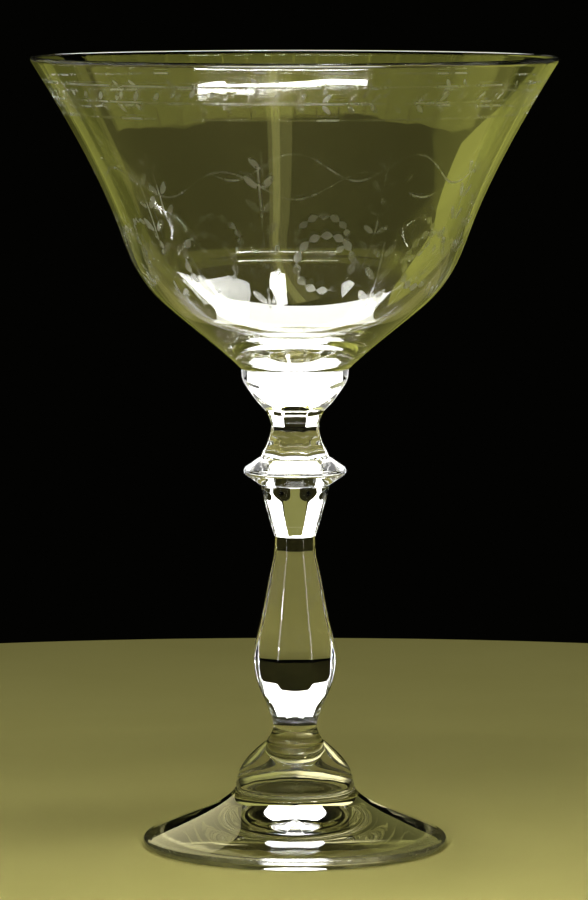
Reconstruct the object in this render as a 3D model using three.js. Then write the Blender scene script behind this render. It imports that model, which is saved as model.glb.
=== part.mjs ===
// Sherbet glass: a thin blown bowl on a pressed eight-panelled stem and a domed foot.
// Millimetres, +Z up. The origin is the middle of the ring that the foot rests on.
// Each gather of glass is one solid, and is fused to the one below it on a flat face.
import * as THREE from "three";

const { lerp, smoothstep } = THREE.MathUtils;

// Radii of the fused seams, each shared by the two gathers that meet there.
const FOOT_SEAM_RADIUS = 11.8;
const BALUSTER_SEAM_RADIUS = 5.0;
const STEM_SEAM_RADIUS = 4.0;
const RING_SEAM_RADIUS = 6.9;
const NECK_SEAM_RADIUS = 5.75;
const BOWL_SEAM_RADIUS = 10.55;

// A flare is how many millimetres a profile runs outward for each millimetre that it climbs.

// Foot: a plate that sweeps up to the stem, hollowed underneath so that it stands on a ring.
const FOOT_RADIUS = 30.2;
const FOOT_EDGE_THICKNESS = 2.0;
const FOOT_RISE = 9.6;
const FOOT_RING_WIDTH = 3.2;
const FOOT_HOLLOW_DEPTH = 4.8;
const FOOT_PLATE_REACH = 7.7;
const FOOT_PLATE_FLARE = -2.15;
const FOOT_SWEEP_RISE = 3.6;
const FOOT_SWEEP_FLARE = -0.38;

// Foot knop: a dome with a waist above it.
const DOME_SIDE_RISE = 4.2;
const DOME_CROWN_RISE = 5.0;
const DOME_SHOULDER_RADIUS = 10.5;
const DOME_TOP_RADIUS = 5.55;
const DOME_FOOT_FLARE = -0.1;
const DOME_SHOULDER_FLARE = -0.6;
const DOME_TOP_FLARE = -1.3;
const LOWER_WAIST_FALL = 2.8;
const LOWER_WAIST_RISE = 2.8;
const LOWER_WAIST_RADIUS = 4.35;
const LOWER_WAIST_FLARE = -0.6;

// Baluster: an upside-down pear with its widest part near the foot.
const BALUSTER_FOOT_RISE = 10.9;
const BALUSTER_BELLY_RISE = 8.6;
const BALUSTER_NECK_RISE = 15.7;
const BALUSTER_BELLY_RADIUS = 8.15;
const BALUSTER_SHOULDER_RADIUS = 6.5;
const BALUSTER_FOOT_FLARE = 0.4;
const BALUSTER_SHOULDER_FLARE = -0.19;
const BALUSTER_NECK_FLARE = -0.1;
const BALUSTER_PANEL_FADE = 5.4;

// Drop knop: a panelled taper that hangs under the ring.
const DROP_RISE = 10.2;
const DROP_FOOT_FLARE = 0.32;
const DROP_TOP_FLARE = 0.25;
const DROP_PANEL_FADE = 2.6;

// Ring knop: a lens-shaped disc with a rounded edge.
const RING_RISE = 5.4;
const RING_RADIUS = 10.1;
const RING_EDGE_RADIUS = 0.9;

// Upper neck: the waist between the ring knop and the bowl's cup.
const UPPER_WAIST_FALL = 5.9;
const UPPER_WAIST_RISE = 3.5;
const UPPER_WAIST_RADIUS = 4.75;
const UPPER_WAIST_FLARE = -0.45;
const UPPER_NECK_FLARE = 0.5;

// Bowl cup: an open cone with an upright lip, which the bowl stands on.
const CUP_CONE_RISE = 5.6;
const CUP_LIP_RISE = 2.4;
const CUP_SHOULDER_RADIUS = 10.15;
const CUP_FOOT_FLARE = 0.95;
const CUP_SHOULDER_FLARE = 0.5;
const CUP_LIP_FLARE = 0.05;
const CUP_PANEL_FADE = 4.2;

// Bowl: a flared bell with a thin wall and a thick floor.
const BOWL_BASE_RISE = 12.3;
const BOWL_BELLY_RISE = 18.1;
const BOWL_RIM_RISE = 31.0;
const BOWL_BELLY_RADIUS = 25.0;
const BOWL_WAIST_RADIUS = 35.5;
const RIM_RADIUS = 51.7;
const BOWL_BASE_FLARE = 1.0;
const BOWL_BELLY_FLARE = 1.15;
const BOWL_WAIST_FLARE = 0.41;
const RIM_FLARE = 0.62;
const BOWL_BELLY_WALL = 1.9;
const RIM_WALL = 1.2;
const BOWL_FLOOR = 3.4;

// Panels of the stem, and how finely the round shapes are faceted.
const PANELS = 8;
const FACETS_PER_PANEL = 4;
const PLATE_FACETS = 64;
const STEM_FACETS = 40;
const CURVE_STEPS = 5;
const EDGE_STEPS = 4;

// Clear glass with a faint warm green cast.
const GLASS_COLOUR = "#eef0e2";
const GLASS_OPACITY = 0.35;
const GLASS_ROUGHNESS = 0.03;

// The cubic from one (radius, height) point up to another that keeps the flare at each end.
function flareCurve(low, lowFlare, high, highFlare) {
  const third = (high.y - low.y) / 3;
  const lowHandle = new THREE.Vector2(lowFlare, 1).multiplyScalar(third).add(low);
  const highHandle = new THREE.Vector2(highFlare, 1).multiplyScalar(-third).add(high);
  return new THREE.CubicBezierCurve(low, lowHandle, highHandle, high);
}

// A profile that climbs from a (radius, height) point in spans of [rise, radius, flare].
function climb(start, startFlare, spans) {
  const points = [start];
  let low = start;
  let lowFlare = startFlare;
  for (const [rise, radius, flare] of spans) {
    const high = new THREE.Vector2(radius, low.y + rise);
    points.push(...flareCurve(low, lowFlare, high, flare).getPoints(CURVE_STEPS).slice(1));
    low = high;
    lowFlare = flare;
  }
  return points;
}

// Turns a closed outline of (radius, height) points about the Z axis.
function turned(outline, facets) {
  return new THREE.LatheGeometry(outline, facets).rotateX(Math.PI / 2);
}

// Turns a solid gather from its profile, with a flat face at the bottom and the top.
function turnedGather(profile, facets) {
  const bottom = new THREE.Vector2(0, profile[0].y);
  const top = new THREE.Vector2(0, profile[profile.length - 1].y);
  return turned([bottom, ...profile, top], facets);
}

// Turns a gather and presses flat panels into it. The middle of each panel keeps the turned radius, and
// the arrises between panels stand out. depthAt(height) is 0 where it stays round, and 1 where it is flat.
function pressedGather(profile, depthAt) {
  const geometry = turnedGather(profile, PANELS * FACETS_PER_PANEL);
  const position = geometry.getAttribute("position");
  const pitch = (2 * Math.PI) / PANELS;
  for (let i = 0; i < position.count; i += 1) {
    const angle = Math.atan2(position.getY(i), position.getX(i));
    const fromMiddle = angle - pitch * Math.round(angle / pitch);
    const swell = lerp(1, 1 / Math.cos(fromMiddle), depthAt(position.getZ(i)));
    position.setX(i, position.getX(i) * swell);
    position.setY(i, position.getY(i) * swell);
  }
  return geometry;
}

function foot() {
  const edgeRadius = FOOT_EDGE_THICKNESS / 2;
  const edgeCentre = FOOT_RADIUS - edgeRadius;
  const hollowRadius = edgeCentre - FOOT_RING_WIDTH;
  const top = FOOT_EDGE_THICKNESS + FOOT_RISE;
  const outline = new THREE.Path();
  outline.moveTo(0, FOOT_HOLLOW_DEPTH);
  outline.quadraticCurveTo(hollowRadius / 2, FOOT_HOLLOW_DEPTH, hollowRadius, 0);
  outline.lineTo(edgeCentre, 0);
  outline.absarc(edgeCentre, edgeRadius, edgeRadius, -Math.PI / 2, Math.PI / 2, false);
  outline.bezierCurveTo(
    edgeCentre - FOOT_PLATE_REACH,
    FOOT_EDGE_THICKNESS - FOOT_PLATE_REACH / FOOT_PLATE_FLARE,
    FOOT_SEAM_RADIUS - FOOT_SWEEP_RISE * FOOT_SWEEP_FLARE,
    top - FOOT_SWEEP_RISE,
    FOOT_SEAM_RADIUS,
    top,
  );
  outline.lineTo(0, top);
  return turned(outline.getPoints(CURVE_STEPS), PLATE_FACETS);
}

function footKnop() {
  const dome = climb(new THREE.Vector2(FOOT_SEAM_RADIUS, 0), DOME_FOOT_FLARE, [
    [DOME_SIDE_RISE, DOME_SHOULDER_RADIUS, DOME_SHOULDER_FLARE],
    [DOME_CROWN_RISE, DOME_TOP_RADIUS, DOME_TOP_FLARE],
  ]);
  const waist = climb(dome.pop(), LOWER_WAIST_FLARE, [
    [LOWER_WAIST_FALL, LOWER_WAIST_RADIUS, 0],
    [LOWER_WAIST_RISE, BALUSTER_SEAM_RADIUS, BALUSTER_FOOT_FLARE],
  ]);
  return turnedGather([...dome, ...waist], STEM_FACETS);
}

function baluster() {
  const profile = climb(new THREE.Vector2(BALUSTER_SEAM_RADIUS, 0), BALUSTER_FOOT_FLARE, [
    [BALUSTER_FOOT_RISE, BALUSTER_BELLY_RADIUS, 0],
    [BALUSTER_BELLY_RISE, BALUSTER_SHOULDER_RADIUS, BALUSTER_SHOULDER_FLARE],
    [BALUSTER_NECK_RISE, STEM_SEAM_RADIUS, BALUSTER_NECK_FLARE],
  ]);
  return pressedGather(profile, (height) => smoothstep(height, 0, BALUSTER_PANEL_FADE));
}

function dropKnop() {
  const profile = climb(new THREE.Vector2(STEM_SEAM_RADIUS, 0), DROP_FOOT_FLARE, [
    [DROP_RISE, RING_SEAM_RADIUS, DROP_TOP_FLARE],
  ]);
  return pressedGather(profile, (height) => smoothstep(DROP_RISE - height, 0, DROP_PANEL_FADE));
}

function ringKnop() {
  const middle = RING_RISE / 2;
  const edgeCentre = RING_RADIUS - RING_EDGE_RADIUS;
  // The edge's arc ends where its tangent runs straight to the seam.
  const seamAngle = Math.atan2(middle, RING_SEAM_RADIUS - edgeCentre);
  const seamDistance = Math.hypot(middle, RING_SEAM_RADIUS - edgeCentre);
  const edgeAngle = seamAngle - Math.acos(RING_EDGE_RADIUS / seamDistance);
  const outline = new THREE.Path();
  outline.moveTo(0, 0);
  outline.lineTo(RING_SEAM_RADIUS, 0);
  outline.absarc(edgeCentre, middle, RING_EDGE_RADIUS, -edgeAngle, edgeAngle, false);
  outline.lineTo(RING_SEAM_RADIUS, RING_RISE);
  outline.lineTo(0, RING_RISE);
  return turned(outline.getPoints(EDGE_STEPS), STEM_FACETS);
}

function upperNeck() {
  const profile = climb(new THREE.Vector2(RING_SEAM_RADIUS, 0), UPPER_WAIST_FLARE, [
    [UPPER_WAIST_FALL, UPPER_WAIST_RADIUS, 0],
    [UPPER_WAIST_RISE, NECK_SEAM_RADIUS, UPPER_NECK_FLARE],
  ]);
  return pressedGather(profile, (height) => smoothstep(height, 0, UPPER_WAIST_FALL));
}

function bowlCup() {
  const profile = climb(new THREE.Vector2(NECK_SEAM_RADIUS, 0), CUP_FOOT_FLARE, [
    [CUP_CONE_RISE, CUP_SHOULDER_RADIUS, CUP_SHOULDER_FLARE],
    [CUP_LIP_RISE, BOWL_SEAM_RADIUS, CUP_LIP_FLARE],
  ]);
  return pressedGather(profile, (height) => smoothstep(CUP_CONE_RISE - height, 0, CUP_PANEL_FADE));
}

// The inside of a blown side: each point of the outside set in by the wall, square to the side.
function insideOf(side, wallAt) {
  return side.map((point, i) => {
    const before = side[Math.max(i - 1, 0)];
    const after = side[Math.min(i + 1, side.length - 1)];
    const along = after.clone().sub(before).normalize();
    return new THREE.Vector2(-along.y, along.x).multiplyScalar(wallAt(point.y)).add(point);
  });
}

function bowl() {
  const height = BOWL_BASE_RISE + BOWL_BELLY_RISE + BOWL_RIM_RISE;
  // The rim is fire polished to a half round, square to the flare of the side.
  const rimRound = RIM_WALL / 2;
  const rimCentre = new THREE.Vector2(RIM_RADIUS - rimRound, height - rimRound);
  const lean = Math.atan(RIM_FLARE);
  const rim = new THREE.Path();
  rim.absarc(rimCentre.x, rimCentre.y, rimRound, -lean, Math.PI - lean, false);
  const rimPoints = rim.getPoints(EDGE_STEPS);
  const sideRise = rimPoints[0].y - BOWL_BASE_RISE - BOWL_BELLY_RISE;
  const base = climb(new THREE.Vector2(BOWL_SEAM_RADIUS, 0), BOWL_BASE_FLARE, [
    [BOWL_BASE_RISE, BOWL_BELLY_RADIUS, BOWL_BELLY_FLARE],
  ]);
  const side = climb(base.pop(), BOWL_BELLY_FLARE, [
    [BOWL_BELLY_RISE, BOWL_WAIST_RADIUS, BOWL_WAIST_FLARE],
    [sideRise, rimPoints[0].x, RIM_FLARE],
  ]);
  // The wall thins from the belly to the waist, and stays as thin from there to the rim.
  const waistHeight = BOWL_BASE_RISE + BOWL_BELLY_RISE;
  const wallAt = (z) => lerp(BOWL_BELLY_WALL, RIM_WALL, smoothstep(z, BOWL_BASE_RISE, waistHeight));
  const inside = insideOf(side, wallAt).slice(0, -1).reverse();
  // The floor curves from the foot of the side to level at the axis.
  const sideFoot = inside.pop();
  const floorReach = (sideFoot.y - BOWL_FLOOR) * BOWL_BELLY_FLARE;
  const floor = new THREE.QuadraticBezierCurve(
    sideFoot,
    new THREE.Vector2(sideFoot.x - floorReach, BOWL_FLOOR),
    new THREE.Vector2(0, BOWL_FLOOR),
  );
  const outline = [
    new THREE.Vector2(0, 0),
    ...base,
    ...side.slice(0, -1),
    ...rimPoints,
    ...inside,
    ...floor.getPoints(CURVE_STEPS),
  ];
  return turned(outline, PLATE_FACETS);
}

function glass() {
  return new THREE.MeshStandardMaterial({
    color: GLASS_COLOUR,
    roughness: GLASS_ROUGHNESS,
    metalness: 0,
    transparent: true,
    opacity: GLASS_OPACITY,
  });
}

// The gathers from the table up.
const GATHERS = {
  foot,
  foot_knop: footKnop,
  baluster,
  drop_knop: dropKnop,
  ring_knop: ringKnop,
  upper_neck: upperNeck,
  bowl_cup: bowlCup,
  bowl,
};

// Each gather stands on the top face of the one before it.
const sherbetGlass = new THREE.Group();
let seat = 0;
for (const [name, shape] of Object.entries(GATHERS)) {
  const geometry = shape();
  const mesh = new THREE.Mesh(geometry, glass());
  mesh.name = name;
  mesh.position.z = seat;
  sherbetGlass.add(mesh);
  geometry.computeBoundingBox();
  seat += geometry.boundingBox.max.z;
}

export default sherbetGlass;
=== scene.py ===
# Sherbet glass: a thin blown bowl on a pressed, eight-panelled stem and a domed foot.
# Metres, +Z up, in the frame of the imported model. The gathers follow from the table up.
import math

import bpy
from mathutils import Matrix, Vector


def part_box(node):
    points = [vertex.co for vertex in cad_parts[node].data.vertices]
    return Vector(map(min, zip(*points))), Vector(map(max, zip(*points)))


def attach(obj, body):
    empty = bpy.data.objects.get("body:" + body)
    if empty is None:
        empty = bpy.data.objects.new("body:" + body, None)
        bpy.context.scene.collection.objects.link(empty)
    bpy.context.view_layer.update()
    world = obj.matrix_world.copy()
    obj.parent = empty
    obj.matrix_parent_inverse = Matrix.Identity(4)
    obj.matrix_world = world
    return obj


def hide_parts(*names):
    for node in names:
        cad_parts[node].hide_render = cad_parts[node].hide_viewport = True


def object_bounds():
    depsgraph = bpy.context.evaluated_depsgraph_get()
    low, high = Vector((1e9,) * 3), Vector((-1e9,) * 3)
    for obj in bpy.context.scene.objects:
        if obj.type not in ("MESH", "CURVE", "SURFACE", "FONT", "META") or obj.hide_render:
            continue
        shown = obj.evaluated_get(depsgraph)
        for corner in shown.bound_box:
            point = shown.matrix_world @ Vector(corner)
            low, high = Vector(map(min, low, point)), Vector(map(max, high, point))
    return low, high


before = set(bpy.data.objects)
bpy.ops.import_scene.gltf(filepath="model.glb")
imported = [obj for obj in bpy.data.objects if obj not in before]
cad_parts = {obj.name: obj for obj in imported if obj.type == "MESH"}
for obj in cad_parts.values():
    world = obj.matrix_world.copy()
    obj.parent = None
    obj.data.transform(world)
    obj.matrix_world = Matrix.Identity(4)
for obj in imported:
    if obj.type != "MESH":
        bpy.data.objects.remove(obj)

cad_low, cad_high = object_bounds()

# Foot
# A round plate of pressed glass that sweeps up to the stem, hollowed underneath so that it stands on a ring.
# It is shaped hot from the last gather and fire polished, and years on tables have dulled the ring.
MM = 0.001
SIDES = 192
RING_STEP = 0.55 * MM
ON_AXIS = 1e-6
CREASE_ANGLE = math.radians(50)
GLASS_IOR = 1.52


def steps_for(reach):
    """How many rings a curve of this length gets."""
    return max(4, math.ceil(reach / RING_STEP))


def bezier(start, leave, arrive, end):
    """Points along a cubic curve between two (radius, height) points."""
    count = steps_for(math.dist(start, leave) + math.dist(leave, arrive) + math.dist(arrive, end))
    points = []
    for i in range(count + 1):
        t = i / count
        share = ((1 - t) ** 3, 3 * t * (1 - t) ** 2, 3 * t * t * (1 - t), t**3)
        corners = (start, leave, arrive, end)
        points.append(tuple(sum(s * c[k] for s, c in zip(share, corners)) for k in (0, 1)))
    return points


def arc(centre, radius, first, last, count=12):
    """Points along an arc between two angles."""
    angles = [first + (last - first) * i / count for i in range(count + 1)]
    return [(centre[0] + radius * math.cos(a), centre[1] + radius * math.sin(a)) for a in angles]


def turn(name, stretches, section=None):
    """A closed mesh turned about Z from stretches of (radius, height) points, each with its own finish.
    The stretches run on from each other, from the axis at the bottom, out, up and back to the axis."""
    outline = [stretches[0][0][0]]
    finishes = []
    finish_of_span = []
    for points, finish in stretches:
        outline += points[1:]
        if finish not in finishes:
            finishes.append(finish)
        finish_of_span += [finishes.index(finish)] * (len(points) - 1)
    verts = []
    rings = []
    for radius, height in outline:
        sides = 1 if radius < ON_AXIS else SIDES
        rings.append(range(len(verts), len(verts) + sides))
        for side in range(sides):
            angle = 2 * math.pi * side / SIDES
            reach = radius * section(angle, height) if section else radius
            verts.append((reach * math.cos(angle), reach * math.sin(angle), height))
    faces = []
    face_finishes = []
    for low, high, finish in zip(rings, rings[1:], finish_of_span):
        for side in range(SIDES):
            after = (side + 1) % SIDES
            corners = [
                low[side % len(low)],
                low[after % len(low)],
                high[after % len(high)],
                high[side % len(high)],
            ]
            faces.append(list(dict.fromkeys(corners)))
            face_finishes.append(finish)
    mesh = bpy.data.meshes.new(name)
    mesh.from_pydata(verts, [], faces)
    for finish in finishes:
        mesh.materials.append(finish)
    mesh.polygons.foreach_set("material_index", face_finishes)
    mesh.polygons.foreach_set("use_smooth", [True] * len(faces))
    mesh.set_sharp_from_angle(angle=CREASE_ANGLE)
    piece = bpy.data.objects.new(name, mesh)
    bpy.context.collection.objects.link(piece)
    return piece


def melted_seam():
    """The inside of a weld, where one gather has melted into the next and no surface is left."""
    weld = bpy.data.materials.new("melted_seam")
    weld.use_nodes = True
    nodes = weld.node_tree.nodes
    nodes.remove(nodes["Principled BSDF"])
    clear = nodes.new("ShaderNodeBsdfTransparent")
    weld.node_tree.links.new(clear.outputs["BSDF"], nodes["Material Output"].inputs["Surface"])
    return weld


def place_on(tree):
    """Where a point lies on its object, in metres."""
    return tree.nodes.new("ShaderNodeTexCoord").outputs["Object"]


def axes_of(tree, place):
    """The X, Y and Z of a place."""
    split = tree.nodes.new("ShaderNodeSeparateXYZ")
    tree.links.new(place, split.inputs["Vector"])
    return split.outputs


def noise(tree, place, scale, stretch=(1, 1, 1), detail=3.0):
    """Cloudy noise with lumps 1 / scale metres wide, drawn out by the stretch."""
    drawn = tree.nodes.new("ShaderNodeMapping")
    drawn.inputs["Scale"].default_value = [scale * s for s in stretch]
    cloud = tree.nodes.new("ShaderNodeTexNoise")
    cloud.inputs["Scale"].default_value = 1.0
    cloud.inputs["Detail"].default_value = detail
    tree.links.new(place, drawn.inputs["Vector"])
    tree.links.new(drawn.outputs["Vector"], cloud.inputs["Vector"])
    return cloud.outputs["Fac"]


def remap(tree, value, low, high, to_low, to_high):
    """A value between low and high, carried over to another range."""
    ramp = tree.nodes.new("ShaderNodeMapRange")
    ramp.interpolation_type = "SMOOTHSTEP"
    for socket, number in zip(("From Min", "From Max", "To Min", "To Max"), (low, high, to_low, to_high)):
        ramp.inputs[socket].default_value = number
    tree.links.new(value, ramp.inputs["Value"])
    return ramp.outputs["Result"]


def sums(tree, operation, *values):
    """One step of arithmetic on values or node outputs."""
    step = tree.nodes.new("ShaderNodeMath")
    step.operation = operation
    for socket, value in zip(step.inputs, values):
        if isinstance(value, (int, float)):
            socket.default_value = value
        else:
            tree.links.new(value, socket)
    return step.outputs["Value"]


def blend(tree, share, first, second):
    """A colour between two others."""
    mix = tree.nodes.new("ShaderNodeMix")
    mix.data_type = "RGBA"
    mix.inputs["A"].default_value = (*first, 1)
    mix.inputs["B"].default_value = (*second, 1)
    tree.links.new(share, mix.inputs["Factor"])
    return mix.outputs["Result"]


def ripple(tree, shader, height, depth):
    """Slight unevenness of the surface, in metres from hollow to crest."""
    bump = tree.nodes.new("ShaderNodeBump")
    bump.inputs["Strength"].default_value = 1.0
    bump.inputs["Distance"].default_value = depth
    tree.links.new(height, bump.inputs["Height"])
    tree.links.new(bump.outputs["Normal"], shader.inputs["Normal"])


def clear_glass(name):
    """Polished clear glass. Returns the material, its node tree, its shader and a place on the object."""
    glass = bpy.data.materials.new(name)
    glass.use_nodes = True
    tree = glass.node_tree
    shader = tree.nodes["Principled BSDF"]
    shader.inputs["IOR"].default_value = GLASS_IOR
    shader.inputs["Transmission Weight"].default_value = 1.0
    return glass, tree, shader, place_on(tree)


def pressed_glass(name, chill_size):
    """Glass that a mould has chilled: faint cords of colour, a film of handling, and fine chill ripples."""
    palest = (0.985, 0.985, 0.955)
    deepest = (0.955, 0.965, 0.905)
    chill_depth = 0.02 * MM
    glass, tree, shader, place = clear_glass(name)
    cords = noise(tree, place, scale=90, stretch=(1, 1, 0.25))
    tree.links.new(blend(tree, cords, palest, deepest), shader.inputs["Base Color"])
    smears = noise(tree, place, scale=160, detail=6.0)
    film = remap(tree, smears, low=0.45, high=0.75, to_low=0.0, to_high=0.035)
    tree.links.new(film, shader.inputs["Roughness"])
    ripple(tree, shader, noise(tree, place, scale=1 / chill_size, detail=1.0), chill_depth)
    return glass


def worn_glass(name, chill_size, ring_top):
    """Pressed glass whose standing ring is scuffed dull by the surfaces it has stood on."""
    glass = pressed_glass(name, chill_size)
    tree = glass.node_tree
    roughness = tree.nodes["Principled BSDF"].inputs["Roughness"]
    film = roughness.links[0].from_socket
    place = place_on(tree)
    near_ring = remap(tree, axes_of(tree, place)["Z"], low=0.0, high=ring_top, to_low=0.45, to_high=0.0)
    scuffs = noise(tree, place, scale=900, detail=8.0)
    tree.links.new(sums(tree, "MULTIPLY_ADD", near_ring, scuffs, film), roughness)
    return glass


foot_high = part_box("foot")[1]
foot_radius = foot_high.x
foot_top = foot_high.z
foot_seam_radius = 11.8 * MM
foot_edge = 1.0 * MM
foot_ring_width = 3.2 * MM
foot_hollow_depth = 4.8 * MM
foot_chill = 6 * MM
foot_scuff_height = 0.6 * MM
plate_reach = 7.7 * MM
plate_flare = -2.15
sweep_rise = 3.6 * MM
sweep_flare = -0.38

edge_centre = foot_radius - foot_edge
hollow_radius = edge_centre - foot_ring_width
hollow = bezier(
    (0, foot_hollow_depth),
    (hollow_radius / 3, foot_hollow_depth),
    (hollow_radius * 2 / 3, foot_hollow_depth * 2 / 3),
    (hollow_radius, 0),
)
edge = arc((edge_centre, foot_edge), foot_edge, -math.pi / 2, math.pi / 2)
plate = bezier(
    edge[-1],
    (edge_centre - plate_reach, 2 * foot_edge - plate_reach / plate_flare),
    (foot_seam_radius - sweep_rise * sweep_flare, foot_top - sweep_rise),
    (foot_seam_radius, foot_top),
)
seam = melted_seam()
foot = turn("foot", [
    (hollow + edge + plate[1:], worn_glass("foot_glass", foot_chill, foot_scuff_height)),
    ([plate[-1], (0, foot_top)], seam),
])
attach(foot, "root")
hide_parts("foot")

# Foot knop
# A solid dome of glass with a waist above it, dropped hot on the foot and drawn up to meet the stem.
# It is smooth and round, with a crease where the dome meets the waist.


def climb(start, flare, spans):
    """Points that climb from a (radius, height) point in spans of (rise, radius, flare).
    A flare is how far the profile runs outward for each metre that it climbs."""
    points = [start]
    for rise, radius, next_flare in spans:
        low = points[-1]
        end = (radius, low[1] + rise)
        leave = (low[0] + flare * rise / 3, low[1] + rise / 3)
        arrive = (radius - next_flare * rise / 3, end[1] - rise / 3)
        points += bezier(low, leave, arrive, end)[1:]
        flare = next_flare
    return points


def gather(node, profile, glass, section=None):
    """A gather welded to the one below and the one above, standing for its node."""
    below = [(0, profile[0][1]), profile[0]]
    above = [profile[-1], (0, profile[-1][1])]
    piece = turn(node, [(below, seam), (profile, glass), (above, seam)], section)
    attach(piece, "root")
    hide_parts(node)
    return piece


knop_low, knop_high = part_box("foot_knop")
knop_chill = 5 * MM
dome_foot_flare = -0.1
dome_side_rise = 4.2 * MM
dome_shoulder_radius = 10.5 * MM
dome_shoulder_flare = -0.6
dome_crown_rise = 5.0 * MM
dome_top_radius = 5.55 * MM
dome_top_flare = -1.3
lower_waist_flare = -0.6
lower_waist_fall = 2.8 * MM
lower_waist_radius = 4.35 * MM
baluster_seam_radius = 5.0 * MM
baluster_foot_flare = 0.4

dome = climb((foot_seam_radius, knop_low.z), dome_foot_flare, [
    (dome_side_rise, dome_shoulder_radius, dome_shoulder_flare),
    (dome_crown_rise, dome_top_radius, dome_top_flare),
])
lower_waist_rise = knop_high.z - dome[-1][1] - lower_waist_fall
waist = climb(dome[-1], lower_waist_flare, [
    (lower_waist_fall, lower_waist_radius, 0.0),
    (lower_waist_rise, baluster_seam_radius, baluster_foot_flare),
])
foot_knop = gather("foot_knop", dome + waist[1:], pressed_glass("foot_knop_glass", knop_chill))

# Baluster
# The long upside-down pear of the stem, pressed in a mould that leaves eight flat panels.
# The panels fade out at its foot, and fire polishing has softened the arrises between them.
# Its top runs nearly straight, as a collar under the drop knop.
PANELS = 8
ARRIS_SHARPNESS = 60


def panelled(depth_at):
    """A section with flat panels and softened arrises. The middle of each panel keeps the turned radius.
    depth_at(height) is 0 where the gather stays round and 1 where its panels are flat."""
    middles = [2 * math.pi * panel / PANELS for panel in range(PANELS)]

    def swell(angle, height):
        facing = sum(max(0.0, math.cos(angle - middle)) ** ARRIS_SHARPNESS for middle in middles)
        return 1 + depth_at(height) * (facing ** (-1 / ARRIS_SHARPNESS) - 1)

    return swell


def fade(value, start, end):
    """Rises smoothly from 0 at start to 1 at end."""
    t = min(1.0, max(0.0, (value - start) / (end - start)))
    return t * t * (3 - 2 * t)


baluster_low, baluster_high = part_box("baluster")
baluster_chill = 7 * MM
baluster_foot_rise = 10.9 * MM
baluster_belly_radius = 8.15 * MM
baluster_belly_rise = 8.6 * MM
baluster_shoulder_radius = 6.5 * MM
baluster_shoulder_flare = -0.19
baluster_neck_flare = -0.24
baluster_panel_fade = 5.4 * MM
collar_foot_flare = -0.09
collar_rise = 3.9 * MM
collar_radius = 4.15 * MM
collar_top_flare = -0.02
stem_seam_radius = 4.0 * MM

baluster_shoulder = baluster_low.z + baluster_foot_rise + baluster_belly_rise
baluster_neck_rise = baluster_high.z - collar_rise - baluster_shoulder
pear = climb((baluster_seam_radius, baluster_low.z), baluster_foot_flare, [
    (baluster_foot_rise, baluster_belly_radius, 0.0),
    (baluster_belly_rise, baluster_shoulder_radius, baluster_shoulder_flare),
    (baluster_neck_rise, collar_radius, baluster_neck_flare),
])
collar = climb(pear[-1], collar_foot_flare, [(collar_rise, stem_seam_radius, collar_top_flare)])
baluster = gather(
    "baluster",
    pear + collar[1:],
    pressed_glass("baluster_glass", baluster_chill),
    panelled(lambda height: fade(height, baluster_low.z, baluster_low.z + baluster_panel_fade)),
)

# Drop knop
# A short panelled taper of glass that hangs under the ring, pressed in line with the baluster's panels.
# Its panels fade into the round under the ring.
drop_low, drop_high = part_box("drop_knop")
drop_chill = 4 * MM
drop_foot_flare = 0.32
drop_top_flare = 0.25
drop_panel_fade = 2.6 * MM
ring_seam_radius = 6.9 * MM

taper = climb((stem_seam_radius, drop_low.z), drop_foot_flare, [
    (drop_high.z - drop_low.z, ring_seam_radius, drop_top_flare),
])
drop_knop = gather(
    "drop_knop",
    taper,
    pressed_glass("drop_knop_glass", drop_chill),
    panelled(lambda height: fade(drop_high.z - height, 0, drop_panel_fade)),
)

# Ring knop
# A lens-shaped disc of glass wrapped hot round the stem and spun to a rounded edge.
# It parts the panelled stem below from the neck above.
ring_low, ring_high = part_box("ring_knop")
ring_chill = 4 * MM
ring_edge_radius = 0.9 * MM

ring_centre = (ring_high.x - ring_edge_radius, (ring_low.z + ring_high.z) / 2)
half_rise = ring_high.z - ring_centre[1]
seam_out = ring_seam_radius - ring_centre[0]
edge_angle = math.atan2(half_rise, seam_out) - math.acos(ring_edge_radius / math.hypot(half_rise, seam_out))
ring_edge = arc(ring_centre, ring_edge_radius, -edge_angle, edge_angle, count=16)


def straight(start, end):
    """Points along a straight side."""
    count = steps_for(math.dist(start, end))
    return [tuple(a + (b - a) * i / count for a, b in zip(start, end)) for i in range(count + 1)]


under_side = straight((ring_seam_radius, ring_low.z), ring_edge[0])
upper_side = straight(ring_edge[-1], (ring_seam_radius, ring_high.z))
ring_knop = gather(
    "ring_knop",
    under_side + ring_edge[1:] + upper_side[1:],
    pressed_glass("ring_knop_glass", ring_chill),
)

# Upper neck
# The waist between the ring and the cup, round where it leaves the ring and panelled towards the cup.
# It is the top of the pressed stem.
neck_low, neck_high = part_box("upper_neck")
neck_chill = 4 * MM
neck_foot_flare = -0.45
upper_waist_fall = 5.9 * MM
upper_waist_radius = 4.75 * MM
neck_seam_radius = 5.75 * MM
neck_top_flare = 0.5

upper_waist_rise = neck_high.z - neck_low.z - upper_waist_fall
neck = climb((ring_seam_radius, neck_low.z), neck_foot_flare, [
    (upper_waist_fall, upper_waist_radius, 0.0),
    (upper_waist_rise, neck_seam_radius, neck_top_flare),
])
upper_neck = gather(
    "upper_neck",
    neck,
    pressed_glass("upper_neck_glass", neck_chill),
    panelled(lambda height: fade(height, neck_low.z, neck_low.z + upper_waist_fall)),
)

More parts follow.
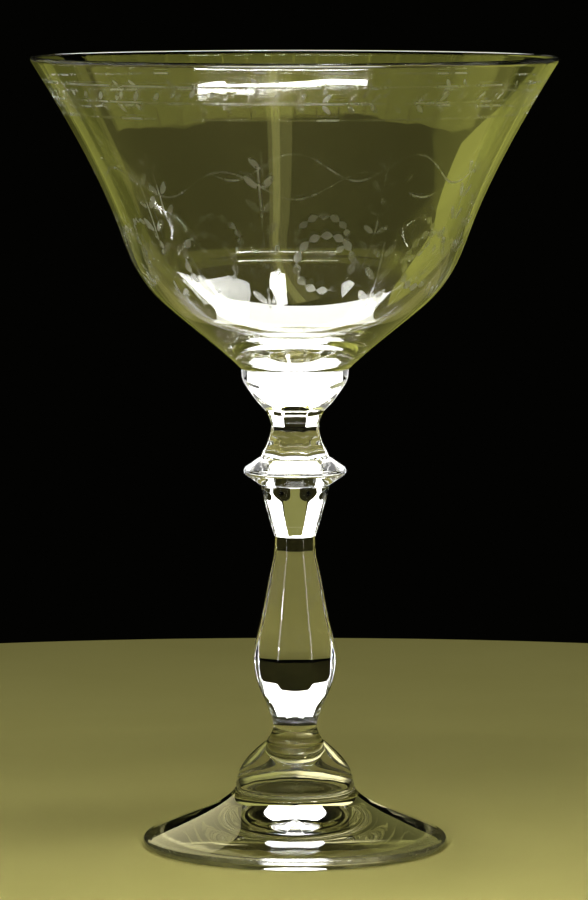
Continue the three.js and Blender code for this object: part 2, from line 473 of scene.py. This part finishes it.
# Bowl cup
# A panelled open cone of glass with an upright lip, pressed on the top of the stem.
# The blown bowl is stuck on it while both are hot.
cup_low, cup_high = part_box("bowl_cup")
cup_chill = 4 * MM
cup_foot_flare = 0.95
cup_cone_rise = 5.6 * MM
cup_shoulder_radius = 10.15 * MM
cup_shoulder_flare = 0.5
cup_lip_flare = 0.05
cup_panel_fade = 4.2 * MM
bowl_seam_radius = 10.55 * MM

cup_shoulder = cup_low.z + cup_cone_rise
cone = climb((neck_seam_radius, cup_low.z), cup_foot_flare, [
    (cup_cone_rise, cup_shoulder_radius, cup_shoulder_flare),
    (cup_high.z - cup_shoulder, bowl_seam_radius, cup_lip_flare),
])
bowl_cup = gather(
    "bowl_cup",
    cone,
    pressed_glass("bowl_cup_glass", cup_chill),
    panelled(lambda height: fade(cup_shoulder - height, 0, cup_panel_fade)),
)

# Bowl
# A thin flared bell of glass, blown and sheared, with a thick floor and a fire-polished rim.
# Its wall is slightly uneven, as hand-blown walls are.
# Acid has etched a leafy border under the rim, with sprigs and wreaths in turn below it.
bowl_low, bowl_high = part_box("bowl")
rim_radius = bowl_high.x
rim_flare = 0.62
rim_wall = 1.2 * MM
bowl_foot_flare = 1.0
bowl_base_rise = 12.3 * MM
belly_radius = 25.0 * MM
belly_flare = 1.15
belly_wall = 1.9 * MM
belly_height = bowl_low.z + bowl_base_rise
bowl_belly_rise = 18.1 * MM
waist_radius = 35.5 * MM
waist_flare = 0.41
waist_height = belly_height + bowl_belly_rise
bowl_floor_thickness = 3.4 * MM
bowl_floor = bowl_low.z + bowl_floor_thickness
ETCHED_REPEATS = 9
etched_line = 0.45 * MM
etched_blur = 0.1 * MM
etched_roughness = 0.3
leaf_length_share = 1.4
leaf_breadth_share = 0.55
border_height = bowl_high.z - 7.7 * MM
border_half_height = 3.1 * MM
border_haze = 0.16
border_leaves = 63
border_leaf_pitch = 4.6 * MM
border_leaf = 1.1 * MM
swag_height = bowl_low.z + 38 * MM
swag_rise = 2.6 * MM
wreath_height = bowl_low.z + 23 * MM
wreath_radius = 5.4 * MM
wreath_leaves = 14
wreath_leaf = 0.75 * MM
sprig_foot = bowl_low.z + 14 * MM
sprig_rise = 27 * MM
sprig_leaf_pitch = 4.5 * MM
sprig_leaf = 1.7 * MM


def blown_glass(name):
    """Blown glass: clear, with long soft waves in the wall and a film of handling."""
    palest = (0.99, 0.99, 0.965)
    deepest = (0.97, 0.975, 0.93)
    wave_depth = 0.25 * MM
    glass, tree, shader, place = clear_glass(name)
    cords = noise(tree, place, scale=40, stretch=(1, 1, 0.4))
    tree.links.new(blend(tree, cords, palest, deepest), shader.inputs["Base Color"])
    smears = noise(tree, place, scale=70, detail=6.0)
    film = remap(tree, smears, low=0.5, high=0.8, to_low=0.0, to_high=0.03)
    tree.links.new(film, shader.inputs["Roughness"])
    ripple(tree, shader, noise(tree, place, scale=45, stretch=(1, 1, 0.5), detail=1.0), wave_depth)
    return glass


def stroke(tree, distance, width):
    """1 on a line of this width and 0 away from it. The distance is from the middle of the line."""
    off_line = sums(tree, "ABSOLUTE", distance)
    return remap(tree, off_line, low=width * 0.35, high=width * 0.6, to_low=1, to_high=0)


def etched_glass(name):
    """Blown glass with an etched leafy border under the rim, and wreaths and sprigs in turn below it."""
    glass = blown_glass(name)
    tree = glass.node_tree
    place = place_on(tree)
    x, y, height = axes_of(tree, place)

    def length(across, up):
        """How long a step with these two parts is."""
        squares = sums(tree, "MULTIPLY_ADD", across, across, sums(tree, "MULTIPLY", up, up))
        return sums(tree, "SQRT", squares)

    turned = sums(tree, "DIVIDE", sums(tree, "ARCTAN2", y, x), 2 * math.pi)
    repeat_width = sums(tree, "MULTIPLY", length(x, y), 2 * math.pi / ETCHED_REPEATS)

    def across_repeat(shift):
        """How far, in metres, a point is from the middle of the nearest motif."""
        share = sums(tree, "FRACT", sums(tree, "MULTIPLY_ADD", turned, ETCHED_REPEATS, shift))
        return sums(tree, "MULTIPLY", sums(tree, "SUBTRACT", share, 0.5), repeat_width)

    def leafy_stem(leaf_count, aside, pitch, leaf):
        """A stem with a pair of slanting leaves at each whole leaf count.
        aside is the distance from the stem."""
        up = sums(tree, "MULTIPLY", sums(tree, "SUBTRACT", sums(tree, "FRACT", leaf_count), 0.5), pitch)
        out = sums(tree, "SUBTRACT", sums(tree, "ABSOLUTE", aside), leaf)
        along = sums(tree, "DIVIDE", sums(tree, "ADD", out, up), leaf * leaf_length_share)
        athwart = sums(tree, "DIVIDE", sums(tree, "SUBTRACT", out, up), leaf * leaf_breadth_share)
        leaves = remap(tree, length(along, athwart), low=0.92, high=1.05, to_low=1, to_high=0)
        return sums(tree, "MAXIMUM", leaves, stroke(tree, aside, etched_line))

    wreath_across = across_repeat(shift=0.5)
    wreath_up = sums(tree, "SUBTRACT", height, wreath_height)
    around = sums(tree, "ARCTAN2", wreath_up, wreath_across)
    leafing = sums(tree, "ABSOLUTE", sums(tree, "SINE", sums(tree, "MULTIPLY", around, wreath_leaves / 2)))
    from_middle = length(wreath_across, wreath_up)
    from_ring = sums(tree, "ABSOLUTE", sums(tree, "SUBTRACT", from_middle, wreath_radius))
    past_leaf = sums(tree, "MULTIPLY_ADD", leafing, -wreath_leaf, from_ring)
    wreath = remap(tree, past_leaf, low=0.0, high=etched_blur, to_low=1, to_high=0)

    sprig_up = sums(tree, "SUBTRACT", height, sprig_foot)
    sprig_count = sums(tree, "DIVIDE", sprig_up, sprig_leaf_pitch)
    sprig = leafy_stem(sprig_count, across_repeat(shift=0.0), sprig_leaf_pitch, sprig_leaf)
    for limit in (sums(tree, "GREATER_THAN", sprig_up, 0.0), sums(tree, "LESS_THAN", sprig_up, sprig_rise)):
        sprig = sums(tree, "MULTIPLY", sprig, limit)

    border_up = sums(tree, "SUBTRACT", height, border_height)
    border_count = sums(tree, "MULTIPLY", turned, border_leaves)
    garland = leafy_stem(border_count, border_up, border_leaf_pitch, border_leaf)
    border_edge = sums(tree, "SUBTRACT", sums(tree, "ABSOLUTE", border_up), border_half_height)
    border_line = stroke(tree, border_edge, etched_line)

    swing = sums(tree, "SINE", sums(tree, "MULTIPLY", turned, 2 * math.pi * ETCHED_REPEATS))
    swag_level = sums(tree, "MULTIPLY_ADD", swing, swag_rise, swag_height)
    swag = stroke(tree, sums(tree, "SUBTRACT", height, swag_level), etched_line)

    etching = wreath
    for motif in (sprig, garland, border_line, swag):
        etching = sums(tree, "MAXIMUM", etching, motif)
    in_border = sums(tree, "LESS_THAN", border_edge, 0.0)
    etching = sums(tree, "MAXIMUM", etching, sums(tree, "MULTIPLY", in_border, border_haze))
    rubbing = noise(tree, place, scale=110, detail=5.0)
    kept = remap(tree, rubbing, low=0.38, high=0.62, to_low=0.15, to_high=1.0)
    roughness = tree.nodes["Principled BSDF"].inputs["Roughness"]
    film = roughness.links[0].from_socket
    worn = sums(tree, "MULTIPLY", etching, kept)
    tree.links.new(sums(tree, "MULTIPLY_ADD", worn, etched_roughness, film), roughness)
    return glass


def inside_of(side):
    """The inner face of the blown side: set in by the wall, which thins from the belly to the waist."""
    points = []
    for i, point in enumerate(side):
        before = side[max(i - 1, 0)]
        after = side[min(i + 1, len(side) - 1)]
        reach = math.dist(before, after)
        outward = (after[0] - before[0]) / reach
        upward = (after[1] - before[1]) / reach
        wall = belly_wall + (rim_wall - belly_wall) * fade(point[1], belly_height, waist_height)
        points.append((point[0] - upward * wall, point[1] + outward * wall))
    return points


lean = math.atan(rim_flare)
rim_centre = (rim_radius - rim_wall / 2, bowl_high.z - rim_wall / 2)
rim = arc(rim_centre, rim_wall / 2, -lean, math.pi - lean, count=16)
base = climb((bowl_seam_radius, bowl_low.z), bowl_foot_flare, [(bowl_base_rise, belly_radius, belly_flare)])
side = climb(base[-1], belly_flare, [
    (bowl_belly_rise, waist_radius, waist_flare),
    (rim[0][1] - waist_height, rim[0][0], rim_flare),
])
inside = inside_of(side)[-2::-1]
floor_turn = (inside[-1][0] - (inside[-1][1] - bowl_floor) * belly_flare, bowl_floor)
two_thirds = 2 / 3
floor = bezier(
    inside[-1],
    tuple(a + (b - a) * two_thirds for a, b in zip(inside[-1], floor_turn)),
    (floor_turn[0] * two_thirds, bowl_floor),
    (0, bowl_floor),
)
bowl = turn("bowl", [
    ([(0, bowl_low.z), base[0]], seam),
    (base + side[1:], etched_glass("etched_bowl_glass")),
    (rim + inside + floor[1:], blown_glass("bowl_glass")),
])
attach(bowl, "root")
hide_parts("bowl")

# Table top
# A plain pale round top with a rounded edge, which the glass stands on.
# It is a stage for the picture, and not part of the object.
table_radius = 0.29
table_thickness = 0.02
stand_clearance = 0.05 * MM


def pale_surface():
    """A plain pale surface with a faint cloudiness."""
    palest = (0.60, 0.555, 0.18)
    deepest = (0.54, 0.495, 0.15)
    pale = bpy.data.materials.new("pale_surface")
    pale.use_nodes = True
    tree = pale.node_tree
    shader = tree.nodes["Principled BSDF"]
    clouds = noise(tree, place_on(tree), scale=25)
    tree.links.new(blend(tree, clouds, palest, deepest), shader.inputs["Base Color"])
    shader.inputs["Roughness"].default_value = 0.9
    shader.inputs["Specular IOR Level"].default_value = 0.0
    return pale


table_face = -stand_clearance
table_under = table_face - table_thickness
table_edge_centre = (table_radius, table_face - table_thickness / 2)
table_edge = arc(table_edge_centre, table_thickness / 2, -math.pi / 2, math.pi / 2)
table_top = turn("table_top", [([(0, table_under)] + table_edge + [(0, table_face)], pale_surface())])

# Studio
# Soft lamps in a dark room. A thin bent strip hangs over the front, with a dim olive veil round it.
# One lamp hangs overhead. The rest stand round the glass, each flagged to light only its own pieces.
white = (1.0, 1.0, 1.0)
straw = (1.0, 0.92, 0.5)
warm = (1.0, 0.98, 0.3)
olive = (0.98, 1.0, 0.19)
everything = ()
stem = (baluster, drop_knop, ring_knop)
at_foot = (0, 0, 0.02)
at_crown = (0, 0, 0.04)
at_baluster = (0, 0, 0.05)
at_ring = (0, 0, 0.08)
at_cup = (0, 0, 0.09)
at_bowl_foot = (0, 0, 0.10)
at_bowl_floor = (0, 0, 0.106)
at_bowl = (0, 0, 0.13)
at_middle = (cad_low + cad_high) / 2


def soft_light(name, place, size, watts, aim, colour, pieces, along=(1, 0, 0)):
    """A soft light of this width and height that faces a point, with its width along a direction.
    Flags beside it keep it off everything but its pieces. A light with no pieces reaches everything."""
    lamp = bpy.data.lights.new(name, "AREA")
    lamp.shape = "RECTANGLE"
    lamp.size, lamp.size_y = size
    lamp.energy = watts
    lamp.color = colour
    holder = bpy.data.objects.new(name, lamp)
    holder.location = place
    backward = (Vector(place) - Vector(aim)).normalized()
    upward = backward.cross(along).normalized()
    holder.rotation_euler = Matrix((upward.cross(backward), upward, backward)).transposed().to_euler()
    holder.visible_camera = False
    bpy.context.collection.objects.link(holder)
    if pieces:
        reach = bpy.data.collections.new(name + "_reach")
        for piece in pieces:
            reach.objects.link(piece)
        holder.light_linking.receiver_collection = reach
    return holder


# Each lamp's name, place, size, power, the point it faces, its colour and its pieces.
lamps = [
    ("floor_light", (-0.08, -0.27, 0.31), (0.36, 0.36), 0.65, (0, -0.10, 0), white, (table_top,)),
    ("foot_light", (-0.24, 0.70, 0.45), (0.46, 0.50), 1.2, at_foot, straw, (foot,)),
    ("foot_fill_light", (0.24, 0.70, 0.45), (0.46, 0.50), 0.3, at_foot, warm, (foot,)),
    ("foot_knop_light", (0, 0.73, 0.47), (0.46, 0.52), 3.7, at_foot, white, (foot_knop,)),
    ("crown_light", (0, 0.795, 0.341), (1.24, 0.277), 2.4, at_crown, white, (baluster,)),
    ("left_arris_light", (-0.5, -0.5, 0.23), (0.30, 0.50), 2.8, at_baluster, white, stem),
    ("right_arris_light", (0.5, -0.5, 0.23), (0.30, 0.50), 2.8, at_baluster, white, stem),
    ("left_spark_light", (-0.5, -0.5, 0.20), (0.16, 0.04), 1.4, at_baluster, white, (baluster, drop_knop)),
    ("right_spark_light", (0.5, -0.5, 0.14), (0.16, 0.04), 1.4, at_baluster, white, (baluster, drop_knop)),
    ("drop_light", (0, 0.80, 0.225), (0.14, 0.09), 0.009, at_ring, warm, (drop_knop,)),
    ("drop_floor_light", (0, 0.12, 0.02), (0.16, 0.12), 0.15, (0, 0.12, 0.09), white, (drop_knop,)),
    ("ring_light", (-0.03, 0.80, 0.34), (1.24, 0.20), 3.6, at_ring, white, (drop_knop, ring_knop)),
    ("left_neck_light", (-0.42, 0.70, 0.30), (0.24, 0.50), 2.0, at_ring, white, (upper_neck,)),
    ("right_neck_light", (0.42, 0.70, 0.30), (0.24, 0.50), 2.0, at_ring, white, (upper_neck,)),
    ("cup_light", (0, 0.68, 0.28), (2.0, 0.75), 7.5, at_cup, white, (bowl_cup, ring_knop)),
    ("cup_top_light", (0, 0.05, 0.60), (1.0, 1.0), 5.0, (0, 0.05, 0.09), white, (bowl_cup, ring_knop)),
    ("cup_floor_light", (0, 0.14, 0.03), (0.30, 0.25), 0.4, (0, 0.14, 0.09), white, (bowl_cup,)),
    ("right_edge_light", (0.20, 0.60, 0.03), (0.26, 0.16), 0.032, at_bowl, olive, (bowl,)),
    ("left_edge_light", (-0.42, 0.50, 0.02), (0.34, 0.22), 0.036, at_bowl, olive, (bowl,)),
    ("left_fill_light", (-0.184, 0.57, 0.06), (0.202, 0.20), 0.010, at_bowl, olive, (bowl,)),
    ("side_light", (-0.57, 0.48, 0.47), (0.36, 0.80), 0.30, at_middle, olive, (bowl,)),
    ("overhead_light", (0.09, 0.06, 0.74), (0.07, 0.12), 0.8, at_bowl_foot, white, everything),
]
for lamp in lamps:
    soft_light(*lamp)

# The white glow in the bottom of the bowl shows only through the glass, so that the rim stays dim.
glows = [
    soft_light("bowl_light", (0.035, 0.36, 0.62), (0.67, 0.53), 16.5, at_bowl_foot, white, (bowl,)),
    soft_light("bowl_floor_light", (0, 0.195, 0.042), (0.06, 0.046), 0.012, at_bowl_floor, white, (bowl,)),
]
for glow in glows:
    glow.visible_glossy = False

# The sheen from below and the upright streak on the bowl show only as reflections.
streak_distance = -0.095
streak_height = 0.006
streak_length = 0.128
streak_slant = (0.94, -0.342, 0)
sheens = [soft_light("floor_bounce", (0, 0, 0.004), (0.9, 0.9), 0.69, (0, 0, 1), olive, (bowl,))]
for x, width, watts in ((-0.0146, 0.010, 0.0102), (-0.010, 0.030, 0.0115)):
    place = (x, streak_distance, streak_height)
    straight_up = (x, streak_distance, 1)
    size = (width, streak_length)
    sheens.append(soft_light("streak_light", place, size, watts, straight_up, warm, (bowl,), streak_slant))
for sheen in sheens:
    sheen.visible_transmission = False

# The strip and its veil run in degrees round a centre in the bowl. Reach and thickness are in metres.
strip_centre = Vector((0, 0.045, 0.149))
strip_reach = 0.6
strip_lift = 60.5
strip_dip = 5.2
strip_dip_at = 54
strip_from = -44
strip_to = 60
strip_step = 8
strip_thickness = 0.005
strip_end_from = 48
strip_end_thickness = 0.011
strip_watts_per_thickness = 7.5
veil_to = 120
veil_step = 16
veil_thickness = 0.08
veil_watts = 0.025
veil_lap = 1.01


def strip_place(degrees):
    """A place along the strip, which bends round the front of the glass and dips to its ends."""
    across = math.radians(degrees)
    up = math.radians(strip_lift - strip_dip * (degrees / strip_dip_at) ** 2)
    level = math.cos(up)
    outward = Vector((math.sin(across) * level, -math.cos(across) * level, math.sin(up)))
    return strip_centre + strip_reach * outward


def part_of_strip(name, degrees, step, thickness, watts, colour, pieces, lap=1.0):
    """A flat lamp along one step of the strip. It may lap over its neighbours."""
    along = strip_place(degrees + step / 2) - strip_place(degrees - step / 2)
    size = (along.length * lap, thickness)
    soft_light(name, strip_place(degrees), size, watts, strip_centre, colour, pieces, along)


for degrees in range(strip_from, strip_to + 1, strip_step):
    thickness = strip_end_thickness if degrees > strip_end_from else strip_thickness
    watts = thickness * strip_watts_per_thickness
    part_of_strip("strip_light", degrees, strip_step, thickness, watts, white, everything)
for degrees in range(-veil_to, veil_to + 1, veil_step):
    part_of_strip("veil_light", degrees, veil_step, veil_thickness, veil_watts, olive, (bowl,), veil_lap)

room_colour = (0.0009, 0.0009, 0.0006, 1)
room = bpy.data.worlds.new("dark_room")
room.use_nodes = True
room.node_tree.nodes["Background"].inputs["Color"].default_value = room_colour
scene = bpy.context.scene
scene.world = room
scene.view_settings.view_transform = "Standard"
scene.cycles.max_bounces = 24
scene.cycles.transmission_bounces = 24
scene.cycles.glossy_bounces = 12
scene.cycles.transparent_max_bounces = 32
scene.cycles.sample_clamp_indirect = 60
scene.cycles.use_denoising = True

# Camera
# A long lens a metre away, a little above the rim, looking slightly down at the glass.
# Its focal length is given in pixels of a picture that is 900 pixels tall.
camera_distance = 0.9933
camera_height = 0.1823
camera_offset = -0.0002
camera_pitch = math.radians(5.9614)
image_height = 900
focal_length_in_pixels = 5065.8

lens = bpy.data.cameras.new("camera")
lens.sensor_fit = "VERTICAL"
lens.sensor_height = 24
lens.lens = focal_length_in_pixels / image_height * lens.sensor_height
camera = bpy.data.objects.new("camera", lens)
camera.location = (camera_offset, -camera_distance, camera_height)
camera.rotation_euler = (math.pi / 2 - camera_pitch, 0, 0)
bpy.context.collection.objects.link(camera)
scene.camera = camera
